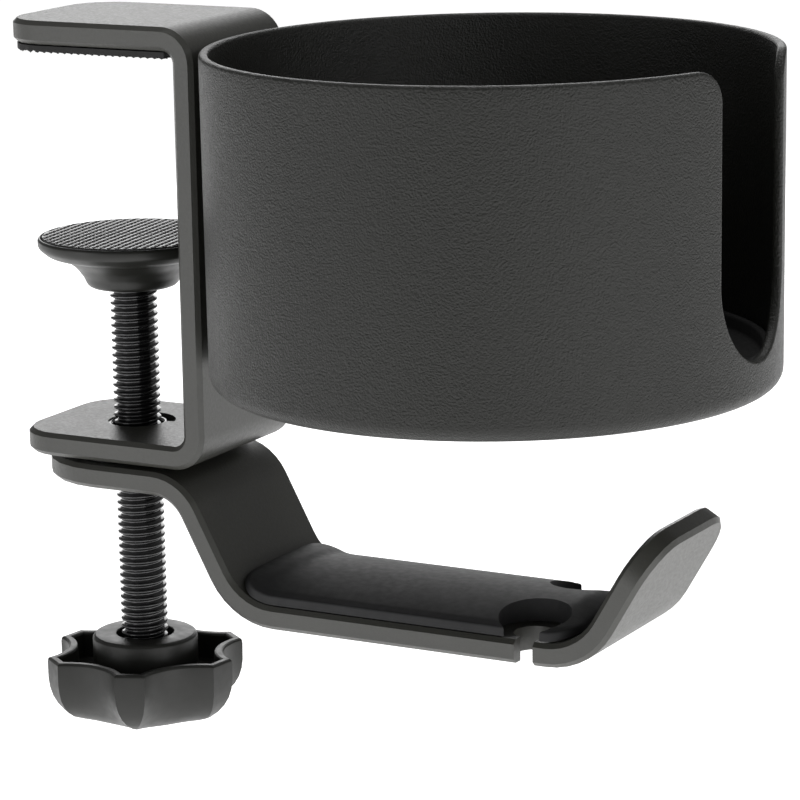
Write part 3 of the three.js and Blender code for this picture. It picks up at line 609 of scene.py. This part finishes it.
def knurl(x, y):
    """Height, from 0 to 1, of flat-topped ridges with shallow notches across them; x and y in millimetres."""
    across = x * math.cos(KNURL_TURN) + y * math.sin(KNURL_TURN)
    along = y * math.cos(KNURL_TURN) - x * math.sin(KNURL_TURN)
    from_ridge = abs((across / KNURL_PITCH) % 1 - 0.5) * 2
    from_notch = abs((along / KNURL_PITCH) % 1 - 0.5) * 2
    ridge = min((1 - from_ridge) / (1 - KNURL_FLAT), 1)
    notch = min(from_notch / KNURL_NOTCH, 1)
    return ridge * (1 - KNURL_NOTCH_DEPTH * (1 - notch))


def swivel_grip():
    count = 440
    bottom = SWIVEL_TOP - GRIP_THICKNESS
    rings = [circle_ring(radius * MM, bottom * MM, count) for radius in (GRIP_PINHOLE, GRIP_RADIUS)]
    for inset, drop in GRIP_EDGE:
        rings.append(circle_ring((GRIP_RADIUS - inset) * MM, (SWIVEL_TOP - drop) * MM, count))
    steps = 96
    for step in range(steps):
        radius = (GRIP_RADIUS - GRIP_PLAIN_RIM) * (1 - step / steps) + GRIP_PINHOLE * step / steps
        ring = []
        for k in range(count):
            x, y = radius * math.cos(TURN * k / count), radius * math.sin(TURN * k / count)
            z = SWIVEL_TOP - KNURL_HEIGHT * (1 - knurl(x, y))
            ring.append((x * MM, y * MM, z * MM))
        rings.append(ring)
    grip = loft("swivel_grip_knurled", rings, sharp_angle=60)
    place_piece(grip, "pad_carriage", GRIP_RUBBER, "grip_rubber", "swivel_grip")


swivel_hub()
swivel_grip()


# ---- upper jaw pad -----------------------------------------------------------------------------------

JAW_PAD_TOOTH = 1.3
JAW_PAD_TOOTH_STEEPNESS = 1.4
JAW_PAD_CORNER = 7.4
JAW_PAD_END_INSET = 0.05
JAW_PAD_TOOTH_HEIGHT = 0.5


def tooth(distance):
    """Height of a row of teeth at a distance across it, from 0 between teeth to 1 on their flat tops."""
    return min((1 - abs((distance / JAW_PAD_TOOTH) % 1 - 0.5) * 2) * JAW_PAD_TOOTH_STEEPNESS, 1)


def upper_jaw_pad():
    low, high = (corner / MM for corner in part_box("upper_jaw_pad"))
    half = (high.y - low.y) / 2
    start, end = low.x + JAW_PAD_END_INSET, high.x - JAW_PAD_END_INSET
    across = 84
    stations = 96
    rings = []
    for step in range(stations + 1):
        x = start + (end - start) * step / stations
        into_corner = max(0, low.x + JAW_PAD_CORNER - x)
        width = half - JAW_PAD_CORNER + math.sqrt(max(JAW_PAD_CORNER ** 2 - into_corner ** 2, 0))
        ring = [(x * MM, -width * MM, high.z * MM), (x * MM, width * MM, high.z * MM)]
        for k in range(across + 1):
            y = width * (1 - 2 * k / across)
            lift = JAW_PAD_TOOTH_HEIGHT * (1 - tooth(x + y) * tooth(x - y))
            ring.append((x * MM, y * MM, (low.z + lift) * MM))
        rings.append(ring)
    pad = loft("upper_jaw_pad_ribbed", rings, sharp_angle=60)
    place_piece(pad, "frame", SEAT_RUBBER, "seat_rubber", "upper_jaw_pad")


upper_jaw_pad()


# ---- cup ---------------------------------------------------------------------------------------------

CUP_X = 66.8
CUP_RADIUS = 45.0
CUP_WALL = 1.5
CUP_DRAFT = 0.25
CUP_INSIDE_TAPER = 0.2
CUP_RIM = 2.8
CUP_BASE = -49.4
CUP_FLOOR = -47.2
CUP_FOOT_ROUND = 2.5
CUP_INNER_ROUND = 1.0
CUP_EDGE_ROUND = 0.6
CUP_BASE_RINGS = (0.5, 15, 30, 38)
CUP_FLOOR_RINGS = (36, 24, 12, 0.5)
SLOT_HALF_WIDTH = 11.05
SLOT_SHOULDER = -29.2
SLOT_BOTTOM = -42.5
SLOT_CORNER = 5.0
SLOT_CUT_REACH = 0.42
SLOT_CUT_FADE = 0.5
BOSS_HALF_WIDTH = 10.0
BOSS_CORNER = 2.5
BOSS_EDGE = [(0.5, 0), (0.15, 0.15), (0, 0.5)]
BOSS_DRILL_OVERCUT = 1
BOSS_Z = (-40.2, -8.2)
BOSS_X = (21.65, 24.6)
CUP_SCREW_Z = (-13.2, -35.2)
CUP_SCREW_HOLE = 2.3


def slot_outline():
    """The slot's edge from its lowest point up to the rim on the +Y side, as (across, height)."""
    points = []
    for angle in quarter_arc(32):
        drop = (SLOT_SHOULDER - SLOT_BOTTOM) * math.cos(angle)
        points.append((SLOT_HALF_WIDTH * math.sin(angle), SLOT_SHOULDER - drop))
    straight = CUP_RIM - SLOT_CORNER - SLOT_SHOULDER
    straight_steps = 40
    for k in range(1, straight_steps):
        points.append((SLOT_HALF_WIDTH, SLOT_SHOULDER + straight * k / straight_steps))
    for angle in quarter_arc(14):
        across = SLOT_HALF_WIDTH + SLOT_CORNER * (1 - math.cos(angle))
        points.append((across, CUP_RIM - SLOT_CORNER + SLOT_CORNER * math.sin(angle)))
    return points


def cup_edge():
    """The wall's whole upper edge as (direction, height), once round the cup from the slot's lowest point."""
    side = [(math.asin(across / CUP_RADIUS), height) for across, height in slot_outline()]
    rim_start = side[-1][0]
    rim_steps = 340
    rim = [(rim_start + (TURN - 2 * rim_start) * k / rim_steps, CUP_RIM) for k in range(1, rim_steps)]
    return side + rim + [(TURN - angle, height) for angle, height in reversed(side)][:-1]


def into_wall(edge):
    """The direction into the wall at each point of its edge, as (along the wall, up)."""
    inward = []
    for k in range(len(edge)):
        before, after = edge[k - 1], edge[(k + 1) % len(edge)]
        turn = (after[0] - before[0] + math.pi) % TURN - math.pi
        along, rise = turn * CUP_RADIUS, after[1] - before[1]
        length = math.hypot(along, rise)
        inward.append((rise / length, -along / length))
    return inward


def wall_radius(inside, z):
    """Radius of the wall's outer or inner surface at a height."""
    share = (CUP_RIM - z) / (CUP_RIM - CUP_BASE)
    if inside:
        return CUP_RADIUS - CUP_WALL - (CUP_DRAFT + CUP_INSIDE_TAPER) * share
    return CUP_RADIUS - CUP_DRAFT * share


def wall_point(direction, z, radius):
    """A point of the wall. Near the slot, points at one direction line up along X, as in a straight cut."""
    turn = (direction + math.pi) % TURN - math.pi
    nearness = 1 - ease(saturate((abs(turn) - SLOT_CUT_REACH) / SLOT_CUT_FADE))
    if nearness > 0:
        across = CUP_RADIUS * math.sin(turn)
        turn += nearness * (math.asin(across / radius) - math.asin(across / CUP_RADIUS))
    return ((CUP_X + radius * math.cos(turn)) * MM, radius * math.sin(turn) * MM, z * MM)


def cup_shell():
    edge = cup_edge()
    inward = into_wall(edge)
    count = len(edge)
    foot = [TURN * k / count for k in range(count)]
    rows = 26
    outer_start = CUP_BASE + CUP_FOOT_ROUND
    inner_start = CUP_FLOOR + CUP_INNER_ROUND

    def edge_ring(depth, into):
        """Points at a depth below the edge and a distance into the wall from its outer face."""
        ring = []
        for (direction, height), (along, up) in zip(edge, inward):
            z = height + depth * up
            outer, inner = wall_radius(False, z), wall_radius(True, z)
            radius = outer + (inner - outer) * into / CUP_WALL
            ring.append(wall_point(direction + depth * along / CUP_RADIUS, z, radius))
        return ring

    def wall_ring(inside, share, start):
        """Points at a share of the way from the foot to just below the edge."""
        ring = []
        for (direction, height), (along, up), low in zip(edge, inward, foot):
            high_z = height + CUP_EDGE_ROUND * up
            high = direction + CUP_EDGE_ROUND * along / CUP_RADIUS
            z = start + (high_z - start) * share
            ring.append(wall_point(low + (high - low) * share, z, wall_radius(inside, z)))
        return ring

    def rounded_edge_ring(angle, inside):
        """Points on the edge's rounding, from the wall's face at angle 0 up to its top at a quarter turn."""
        into = CUP_EDGE_ROUND * (1 - math.cos(angle))
        return edge_ring(CUP_EDGE_ROUND * (1 - math.sin(angle)), CUP_WALL - into if inside else into)

    def foot_ring(radius, z):
        return circle_ring(radius * MM, z * MM, count, (CUP_X * MM, 0))

    foot_radius = CUP_RADIUS - CUP_DRAFT
    edge_arc = quarter_arc(6)[1:]
    rings = [foot_ring(radius, CUP_BASE) for radius in CUP_BASE_RINGS]
    for angle in quarter_arc(8):
        radius = foot_radius - CUP_FOOT_ROUND * (1 - math.sin(angle))
        rings.append(foot_ring(radius, CUP_BASE + CUP_FOOT_ROUND * (1 - math.cos(angle))))
    rings += [wall_ring(False, k / rows, outer_start) for k in range(1, rows + 1)]
    rings += [rounded_edge_ring(angle, False) for angle in edge_arc]
    rings += [rounded_edge_ring(angle, True) for angle in reversed(edge_arc)]
    rings += [wall_ring(True, k / rows, inner_start) for k in range(rows, -1, -1)]
    inner_foot = wall_radius(True, CUP_FLOOR)
    for angle in edge_arc:
        radius = inner_foot - CUP_INNER_ROUND * (1 - math.cos(angle))
        rings.append(foot_ring(radius, CUP_FLOOR + CUP_INNER_ROUND * (1 - math.sin(angle))))
    rings += [foot_ring(radius, CUP_FLOOR) for radius in CUP_FLOOR_RINGS]
    shell = loft("cup_shell_moulded", rings, sharp_angle=50)
    place_piece(shell, "frame", CUP_PLASTIC, "cup_plastic", "cup_shell")


def screw_hole_drill(z):
    """A bar along X that is as wide as a screw hole and passes right through the boss."""
    angles = [TURN * k / 48 for k in range(48)]
    circle = [(CUP_SCREW_HOLE * math.cos(angle), z + CUP_SCREW_HOLE * math.sin(angle)) for angle in angles]
    ends = (BOSS_X[0] - BOSS_DRILL_OVERCUT, BOSS_X[1] + BOSS_DRILL_OVERCUT)
    return loft("drill", [[(x * MM, y * MM, height * MM) for y, height in circle] for x in ends])


def cup_boss():
    """The flat pad on the cup's back that the two screws draw against the clamp, with rounded edges."""
    corners = [
        (BOSS_HALF_WIDTH, BOSS_Z[1]), (-BOSS_HALF_WIDTH, BOSS_Z[1]),
        (-BOSS_HALF_WIDTH, BOSS_Z[0]), (BOSS_HALF_WIDTH, BOSS_Z[0]),
    ]
    middle, half_height = sum(BOSS_Z) / 2, (BOSS_Z[1] - BOSS_Z[0]) / 2
    outline = []
    for turn, (y, z) in enumerate(corners):
        centre_y = y - math.copysign(BOSS_CORNER, y)
        centre_z = z - math.copysign(BOSS_CORNER, z - middle)
        for k in range(9):
            angle = QUARTER * (turn + k / 8)
            across, up = BOSS_CORNER * math.cos(angle), BOSS_CORNER * math.sin(angle)
            outline.append((centre_y + across, centre_z + up))

    def boss_ring(x, shrink):
        wide, tall = 1 - shrink / BOSS_HALF_WIDTH, 1 - shrink / half_height
        return [(x * MM, y * wide * MM, (middle + (z - middle) * tall) * MM) for y, z in outline]

    edge = [(BOSS_X[0], 0)] + [(BOSS_X[1] - below, shrink) for below, shrink in BOSS_EDGE]
    boss = loft("cup_boss_moulded", [boss_ring(x, shrink) for x, shrink in edge])
    for z in CUP_SCREW_Z:
        cut_away(boss, screw_hole_drill(z))
    dress(boss, CUP_PLASTIC)
    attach(boss, "frame")


# ---- cup mat -----------------------------------------------------------------------------------------

MAT_FLOOR_Z = -45.65
MAT_RIM_Z = -43.15
MAT_RIM_WALL = 1.3
MAT_FLOOR_DEPTH = 0.35
MAT_PINHOLE = 0.1
MAT_SMOOTH_BAND = 1.4
MAT_ROUGH_START = 1.8

# Each layer of the mat's grain has its size, its seed and its weight.
MAT_GRAIN = [(0.9, 0.3, 0.7), (2.2, 4.1, 0.3)]


def rough_floor(x, y):
    """A dimpled, uneven height for the mat's floor, between 0 and 1."""
    layers = [weight * noise.noise(Vector((x / size, y / size, seed))) for size, seed, weight in MAT_GRAIN]
    return 0.5 + 0.5 * sum(layers)


def cup_mat():
    low, high = (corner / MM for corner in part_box("cup_mat"))
    outer = (high.x - low.x) / 2
    inner = outer - MAT_RIM_WALL
    count = 288
    centre = (CUP_X * MM, 0)
    outline = rounded_profile([
        (MAT_PINHOLE, low.z, 0), (outer, low.z, 0.3), (outer, MAT_RIM_Z, 0.5), (inner, MAT_RIM_Z, 0.5),
        (inner, MAT_FLOOR_Z, 0.6), (inner - MAT_SMOOTH_BAND, MAT_FLOOR_Z, 0),
    ])
    rings = [circle_ring(point.x * MM, point.y * MM, count, centre) for point in outline]
    steps = 60
    for step in range(steps):
        radius = (inner - MAT_ROUGH_START) * (1 - step / steps) + MAT_PINHOLE * step / steps
        ring = []
        for k in range(count):
            x, y = radius * math.cos(TURN * k / count), radius * math.sin(TURN * k / count)
            z = MAT_FLOOR_Z - MAT_FLOOR_DEPTH * rough_floor(x, y)
            ring.append(((CUP_X + x) * MM, y * MM, z * MM))
        rings.append(ring)
    mat = loft("cup_mat_moulded", rings, sharp_angle=40)
    place_piece(mat, "frame", MAT_RUBBER, "mat_rubber", "cup_mat")


cup_shell()
cup_boss()
cup_mat()


# ---- hook pad ----------------------------------------------------------------------------------------

HOOK_TOP_MID = -68.8
HOOK_DROP = 19.9
HOOK_SLOPE = math.radians(62)
HOOK_UPPER_CORNER = 16.1
HOOK_TIP_CORNER = 88.3
HOOK_TIP_ANGLE = math.radians(59.5)
HOOK_BEND = 11.1
HALF_STRIP = 1.9
PAD_AIR = 0.2
PAD_WIDTH = 27.6
PAD_SIDE = 1.6
PAD_CROWN = 2.2
PAD_WRAP = (math.radians(52), math.radians(28))
PAD_EDGE_ROUND = 0.45
PAD_END_ROUND = 6.0
PAD_END_HEIGHT = 0.5
PAD_END_START = 0.04
KEYHOLE_X = 77.8
KEYHOLE_Y = 9.0
KEYHOLE_RADIUS = 5.7
KEYHOLE_SLOT = 3.6
KEYHOLE_SHIFT = 0.6
KEYHOLE_OVERCUT = 2
KEYHOLE_CUT_HEIGHT = 12

# The flat between the hook's two lower bends, along X and on the strip's middle surface.
FLAT_START = HOOK_UPPER_CORNER + HOOK_DROP / math.tan(HOOK_SLOPE) + HOOK_BEND * math.tan(HOOK_SLOPE / 2)
FLAT_LENGTH = HOOK_TIP_CORNER - HOOK_BEND * math.tan(HOOK_TIP_ANGLE / 2) - FLAT_START
FLAT_Z = HOOK_TOP_MID - HOOK_DROP


def pad_path(distance):
    """Point and heading on the hook's middle surface, measured along it from where the flat begins."""
    along_flat = min(max(distance, 0), FLAT_LENGTH)
    turn = (distance - along_flat) / HOOK_BEND
    x = FLAT_START + along_flat + HOOK_BEND * math.sin(turn)
    return (x, FLAT_Z + HOOK_BEND * (1 - math.cos(turn))), turn


def pad_section(width, height):
    """Half-open crowned section as (across, above the strip) from the near base round to the far base."""
    half = PAD_WIDTH / 2
    side = PAD_SIDE * height
    points = [(-width, 0)]
    bend = min(PAD_EDGE_ROUND, side * 0.8)
    for angle in quarter_arc(4):
        points.append((-width + bend - bend * math.cos(angle), side - bend + bend * math.sin(angle)))
    steps = 40
    for k in range(1, steps):
        across = (width - bend) * (2 * k / steps - 1)
        share = across / half
        points.append((across, side + PAD_CROWN * height * ((width / half) ** 2 - share * share)))
    for angle in reversed(quarter_arc(4)):
        points.append((width - bend + bend * math.cos(angle), side - bend + bend * math.sin(angle)))
    points.append((width, 0))
    return points


def keyhole_cutter(side):
    """A round hole with a slot to the strip's edge, as an upright solid."""
    outline = []
    slot_half = KEYHOLE_SLOT / 2
    mouth = KEYHOLE_X + KEYHOLE_SHIFT
    edge = PAD_WIDTH / 2 + KEYHOLE_OVERCUT
    start = math.asin((KEYHOLE_SHIFT + slot_half) / KEYHOLE_RADIUS)
    end = math.asin((slot_half - KEYHOLE_SHIFT) / KEYHOLE_RADIUS)
    sweep = TURN - start - end
    steps = 64
    for k in range(steps + 1):
        angle = start + sweep * k / steps
        x = KEYHOLE_X + KEYHOLE_RADIUS * math.sin(angle)
        y = KEYHOLE_Y + KEYHOLE_RADIUS * math.cos(angle)
        outline.append((x, y))
    outline.append((mouth - slot_half, edge))
    outline.append((mouth + slot_half, edge))
    levels = (FLAT_Z, FLAT_Z + KEYHOLE_CUT_HEIGHT)
    rings = [[(x * MM, side * y * MM, z * MM) for x, y in outline] for z in levels]
    if side > 0:
        rings = [ring[::-1] for ring in rings]
    return loft("keyhole_cutter", rings)


def hook_pad():
    start = -PAD_WRAP[0] * HOOK_BEND
    end = FLAT_LENGTH + PAD_WRAP[1] * HOOK_BEND
    half = PAD_WIDTH / 2
    stations = []
    end_steps = 12
    for k in range(end_steps + 1):
        angle = QUARTER * (PAD_END_START + (1 - PAD_END_START) * k / end_steps)
        width = half - PAD_END_ROUND * (1 - math.sin(angle))
        height = PAD_END_HEIGHT + (1 - PAD_END_HEIGHT) * math.sin(angle)
        stations.append((PAD_END_ROUND * (1 - math.cos(angle)), width, height))
    middle_steps = 70
    rows = [(start + reach, width, height) for reach, width, height in stations]
    first, last = start + PAD_END_ROUND, end - PAD_END_ROUND
    rows += [(first + (last - first) * k / middle_steps, half, 1) for k in range(1, middle_steps)]
    rows += [(end - reach, width, height) for reach, width, height in reversed(stations)]
    rings = []
    for distance, width, height in rows:
        (x, z), turn = pad_path(distance)
        ring = []
        for across, above in pad_section(width, height):
            offset = HALF_STRIP + PAD_AIR + above
            ring.append(((x - offset * math.sin(turn)) * MM, across * MM, (z + offset * math.cos(turn)) * MM))
        rings.append(ring)
    pad = loft("hook_pad_moulded", rings, sharp_angle=40)
    for side in (-1, 1):
        cut_away(pad, keyhole_cutter(side))
    place_piece(pad, "hook", HOOK_RUBBER, "hook_rubber", "hook_pad")


hook_pad()


# ---- stage: floor, light and camera ------------------------------------------------------------------

FLOOR_Z = -0.30
FLOOR_RINGS = (0.5, 1.5, 4, 9)
FLOOR_GLOW = 0.9
WORLD_GLOW = 0.18
LIGHT_TARGET = (0.045, 0, -0.05)
CAMERA_PLACE = (0.32508, -0.50043, 0.07407)
CAMERA_TURN = math.radians(28.83)
CAMERA_FALL = math.radians(12.67)
CAMERA_ROLL = math.radians(-1.035)
CAMERA_LENS = 165.87

# Each square soft box has its place, its side and its power in watts.
SOFT_BOXES = {
    "top_box": ((0.0, 0.25, 0.8), 0.6, 3.0),
    "back_box": ((-0.8, 1.45, 0.36), 1.0, 7.0),
    "left_box": ((-0.6, -1.0, 0.1), 0.6, 1.4),
    "right_box": ((0.9, -0.25, 0.1), 0.6, 1.5),
}


def disc(rings):
    """Points and faces of a flat disc through rings of equal point counts, facing up."""
    count = len(rings[0])
    points = [point for ring in rings for point in ring]
    faces = [tuple(range(count))]
    for row in range(len(rings) - 1):
        inner, outer = row * count, (row + 1) * count
        for k in range(count):
            following = (k + 1) % count
            faces.append((inner + k, outer + k, outer + following, inner + following))
    return points, faces


def floor():
    """A wide pale floor, seen only from above."""
    rings = [circle_ring(radius, FLOOR_Z, 64) for radius in FLOOR_RINGS]
    ground = mesh_piece("studio_floor", *disc(rings))
    material = bpy.data.materials.new("pale_floor")
    material.use_nodes = True
    nodes, links = material.node_tree.nodes, material.node_tree.links
    shader = nodes["Principled BSDF"]
    shader.inputs["Base Color"].default_value = (0.93, 0.93, 0.93, 1)
    shader.inputs["Roughness"].default_value = 0.9
    shader.inputs["Specular IOR Level"].default_value = 0.1
    shader.inputs["Emission Color"].default_value = (1, 1, 1, 1)
    shader.inputs["Emission Strength"].default_value = FLOOR_GLOW
    clear = nodes.new("ShaderNodeBsdfTransparent")
    side = nodes.new("ShaderNodeNewGeometry")
    mix = nodes.new("ShaderNodeMixShader")
    links.new(side.outputs["Backfacing"], mix.inputs["Fac"])
    links.new(shader.outputs["BSDF"], mix.inputs[1])
    links.new(clear.outputs["BSDF"], mix.inputs[2])
    links.new(mix.outputs["Shader"], nodes["Material Output"].inputs["Surface"])
    dress(ground, material)


def world_light():
    """Dim even light from all round; the camera sees the same world as plain white."""
    world = bpy.data.worlds.new("studio")
    world.use_nodes = True
    nodes, links = world.node_tree.nodes, world.node_tree.links
    background = nodes["Background"]
    background.inputs["Strength"].default_value = WORLD_GLOW
    white = nodes.new("ShaderNodeBackground")
    path = nodes.new("ShaderNodeLightPath")
    mix = nodes.new("ShaderNodeMixShader")
    for node in (background, white):
        node.inputs["Color"].default_value = (1, 1, 1, 1)
    links.new(path.outputs["Is Camera Ray"], mix.inputs["Fac"])
    links.new(background.outputs["Background"], mix.inputs[1])
    links.new(white.outputs["Background"], mix.inputs[2])
    links.new(mix.outputs["Shader"], nodes["World Output"].inputs["Surface"])
    bpy.context.scene.world = world


def soft_box(name, place, side, power):
    """A square area light that faces the part."""
    lamp = bpy.data.lights.new(name, "AREA")
    lamp.shape = "SQUARE"
    lamp.size = side
    lamp.energy = power
    lamp_object = bpy.data.objects.new(name, lamp)
    lamp_object.location = place
    direction = Vector(LIGHT_TARGET) - Vector(place)
    lamp_object.rotation_euler = direction.to_track_quat("-Z", "Y").to_euler()
    bpy.context.scene.collection.objects.link(lamp_object)


def camera():
    right = Vector((math.cos(CAMERA_TURN), math.sin(CAMERA_TURN), 0))
    forward = Vector((
        -math.sin(CAMERA_TURN) * math.cos(CAMERA_FALL),
        math.cos(CAMERA_TURN) * math.cos(CAMERA_FALL),
        -math.sin(CAMERA_FALL),
    ))
    up = right.cross(forward)
    rolled_right = math.cos(CAMERA_ROLL) * right + math.sin(CAMERA_ROLL) * up
    rolled_up = -math.sin(CAMERA_ROLL) * right + math.cos(CAMERA_ROLL) * up
    data = bpy.data.cameras.new("camera")
    data.sensor_width = 36
    data.lens = CAMERA_LENS
    data.clip_start = 0.01
    data.clip_end = 50
    eye = bpy.data.objects.new("camera", data)
    turn = Matrix((rolled_right, rolled_up, -forward)).transposed()
    eye.matrix_world = Matrix.Translation(CAMERA_PLACE) @ turn.to_4x4()
    bpy.context.scene.collection.objects.link(eye)
    bpy.context.scene.camera = eye


floor()
world_light()
for box_name, box in SOFT_BOXES.items():
    soft_box(box_name, *box)
camera()

scene = bpy.context.scene
scene.view_settings.view_transform = "Standard"
scene.view_settings.look = "None"
scene.cycles.use_denoising = True
